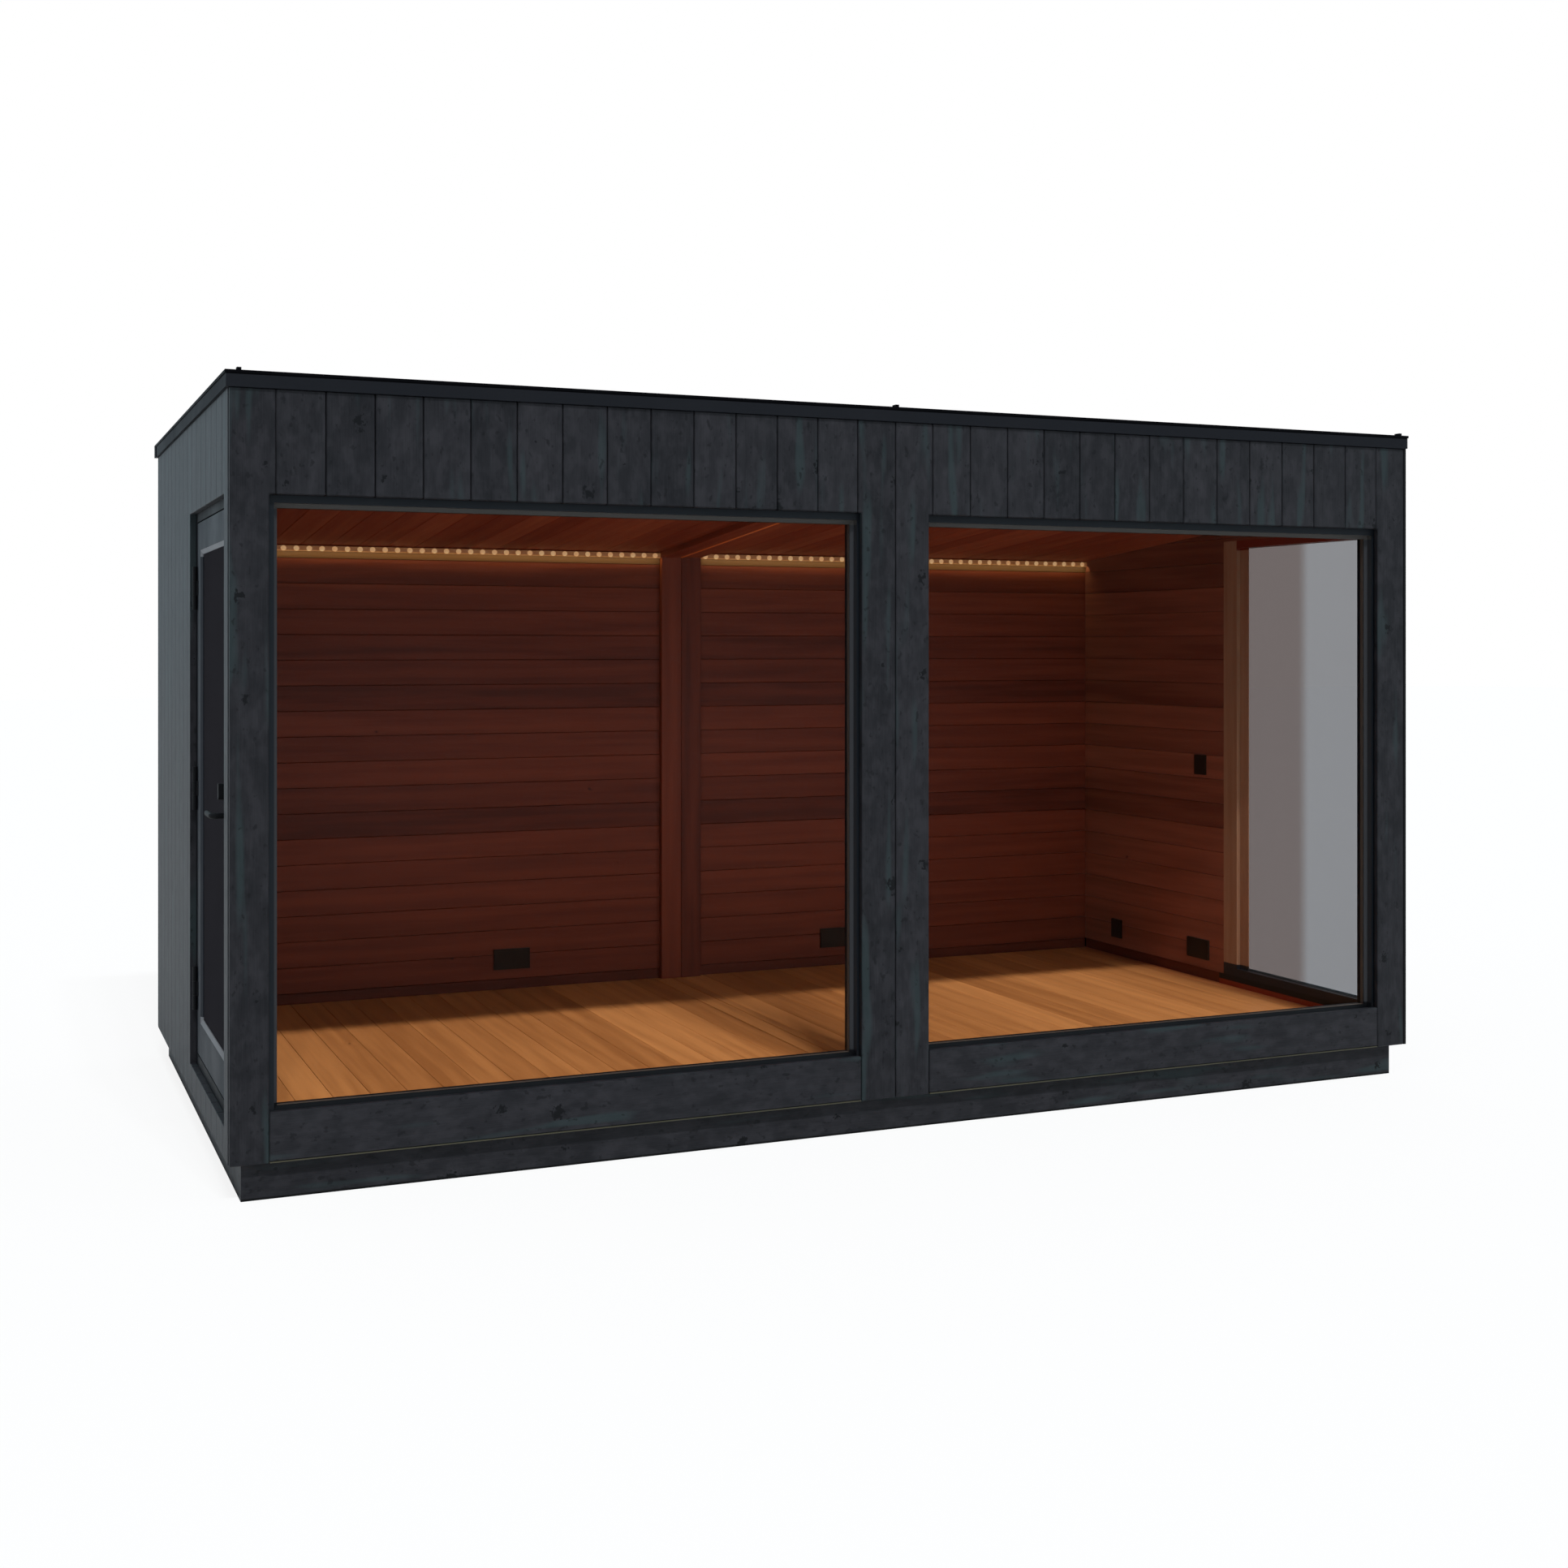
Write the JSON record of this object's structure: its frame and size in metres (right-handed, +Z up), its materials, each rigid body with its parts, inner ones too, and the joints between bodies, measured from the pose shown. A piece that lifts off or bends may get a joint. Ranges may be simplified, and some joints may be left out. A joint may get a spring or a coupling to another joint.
{
  "type": "outdoor sauna cabin",
  "caption": "Box-shaped outdoor sauna cabin with dark upright boards, full-height front windows, a glazed side door, a fixed side window and a bare wood-lined room.",
  "frame": {"origin": "on the ground under the middle of the cabin, on the middle bearer's underside", "axes": "+X right along the front, -Y out of the front, +Z up"},
  "size_m": [4.497, 2.334, 2.508],
  "materials": {
    "plinth": "matt dark",
    "floor_wood": "oiled boards",
    "wall_core": "dark insulated panel",
    "cladding": "dark stained boards",
    "lining": "reddish brown boards",
    "roof_sheet": "matt black membrane",
    "trim_metal": "satin dark grey",
    "window_frame": "satin dark grey",
    "pane": "clear",
    "jamb_wood": "pale unstained",
    "black_metal": "satin black",
    "door_paint": "satin blue grey",
    "strip_light": "lit strip",
    "plate_plastic": "dark plates"
  },
  "bodies": {
    "cabin": {"plinth_rails": "plinth", "plinth_bearers": "plinth", "floor_left": "floor_wood", "floor_right": "floor_wood", "back_wall_left": "wall_core", "back_wall_right": "wall_core", "left_wall_rear": "wall_core", "left_wall_over_door": "wall_core", "right_wall_rear": "wall_core", "right_wall_over_window": "wall_core", "front_posts": "wall_core", "front_headers": "wall_core", "front_sills": "wall_core", "cladding_front_left": "cladding", "cladding_front_right": "cladding", "cladding_left": "cladding", "cladding_right": "cladding", "cladding_back": "cladding", "lining_back": "lining", "lining_front": "lining", "lining_left": "lining", "lining_right": "lining", "ceiling_left": "lining", "ceiling_right": "lining", "roof_left": "roof_sheet", "roof_right": "roof_sheet", "roof_trim_long": "trim_metal", "roof_trim_ends": "trim_metal", "roof_ribs": "trim_metal", "pilaster": "lining", "ceiling_beam": "lining", "front_window_frames": "window_frame", "front_window_glass": "pane", "side_window_frame": "jamb_wood", "side_window_glass": "pane", "side_window_sill": "black_metal", "door_frame": "window_frame", "hinges_fixed": "black_metal", "led_strips": "strip_light", "wall_plates": "plate_plastic"},
    "door": {"door_leaf": "door_paint", "door_glass": "pane", "hinges_moving": "black_metal", "door_lock": "black_metal"},
    "handle": {"door_handle": "black_metal"}
  },
  "joints": [
    {"name": "door_swing", "type": "hinge", "parent": "cabin", "child": "door", "pos_m": [-2.2115, -0.1145, 1.18], "axis": [0, 0, -1], "range_deg": [0, 105]},
    {"name": "handle_turn", "type": "hinge", "parent": "door", "child": "handle", "pos_m": [-2.2, -0.958, 1.152], "axis": [-1, 0, 0], "range_deg": [0, 45], "stiffness_Nm_per_rad": 1.5, "springref_deg": -20.05}
  ]
}
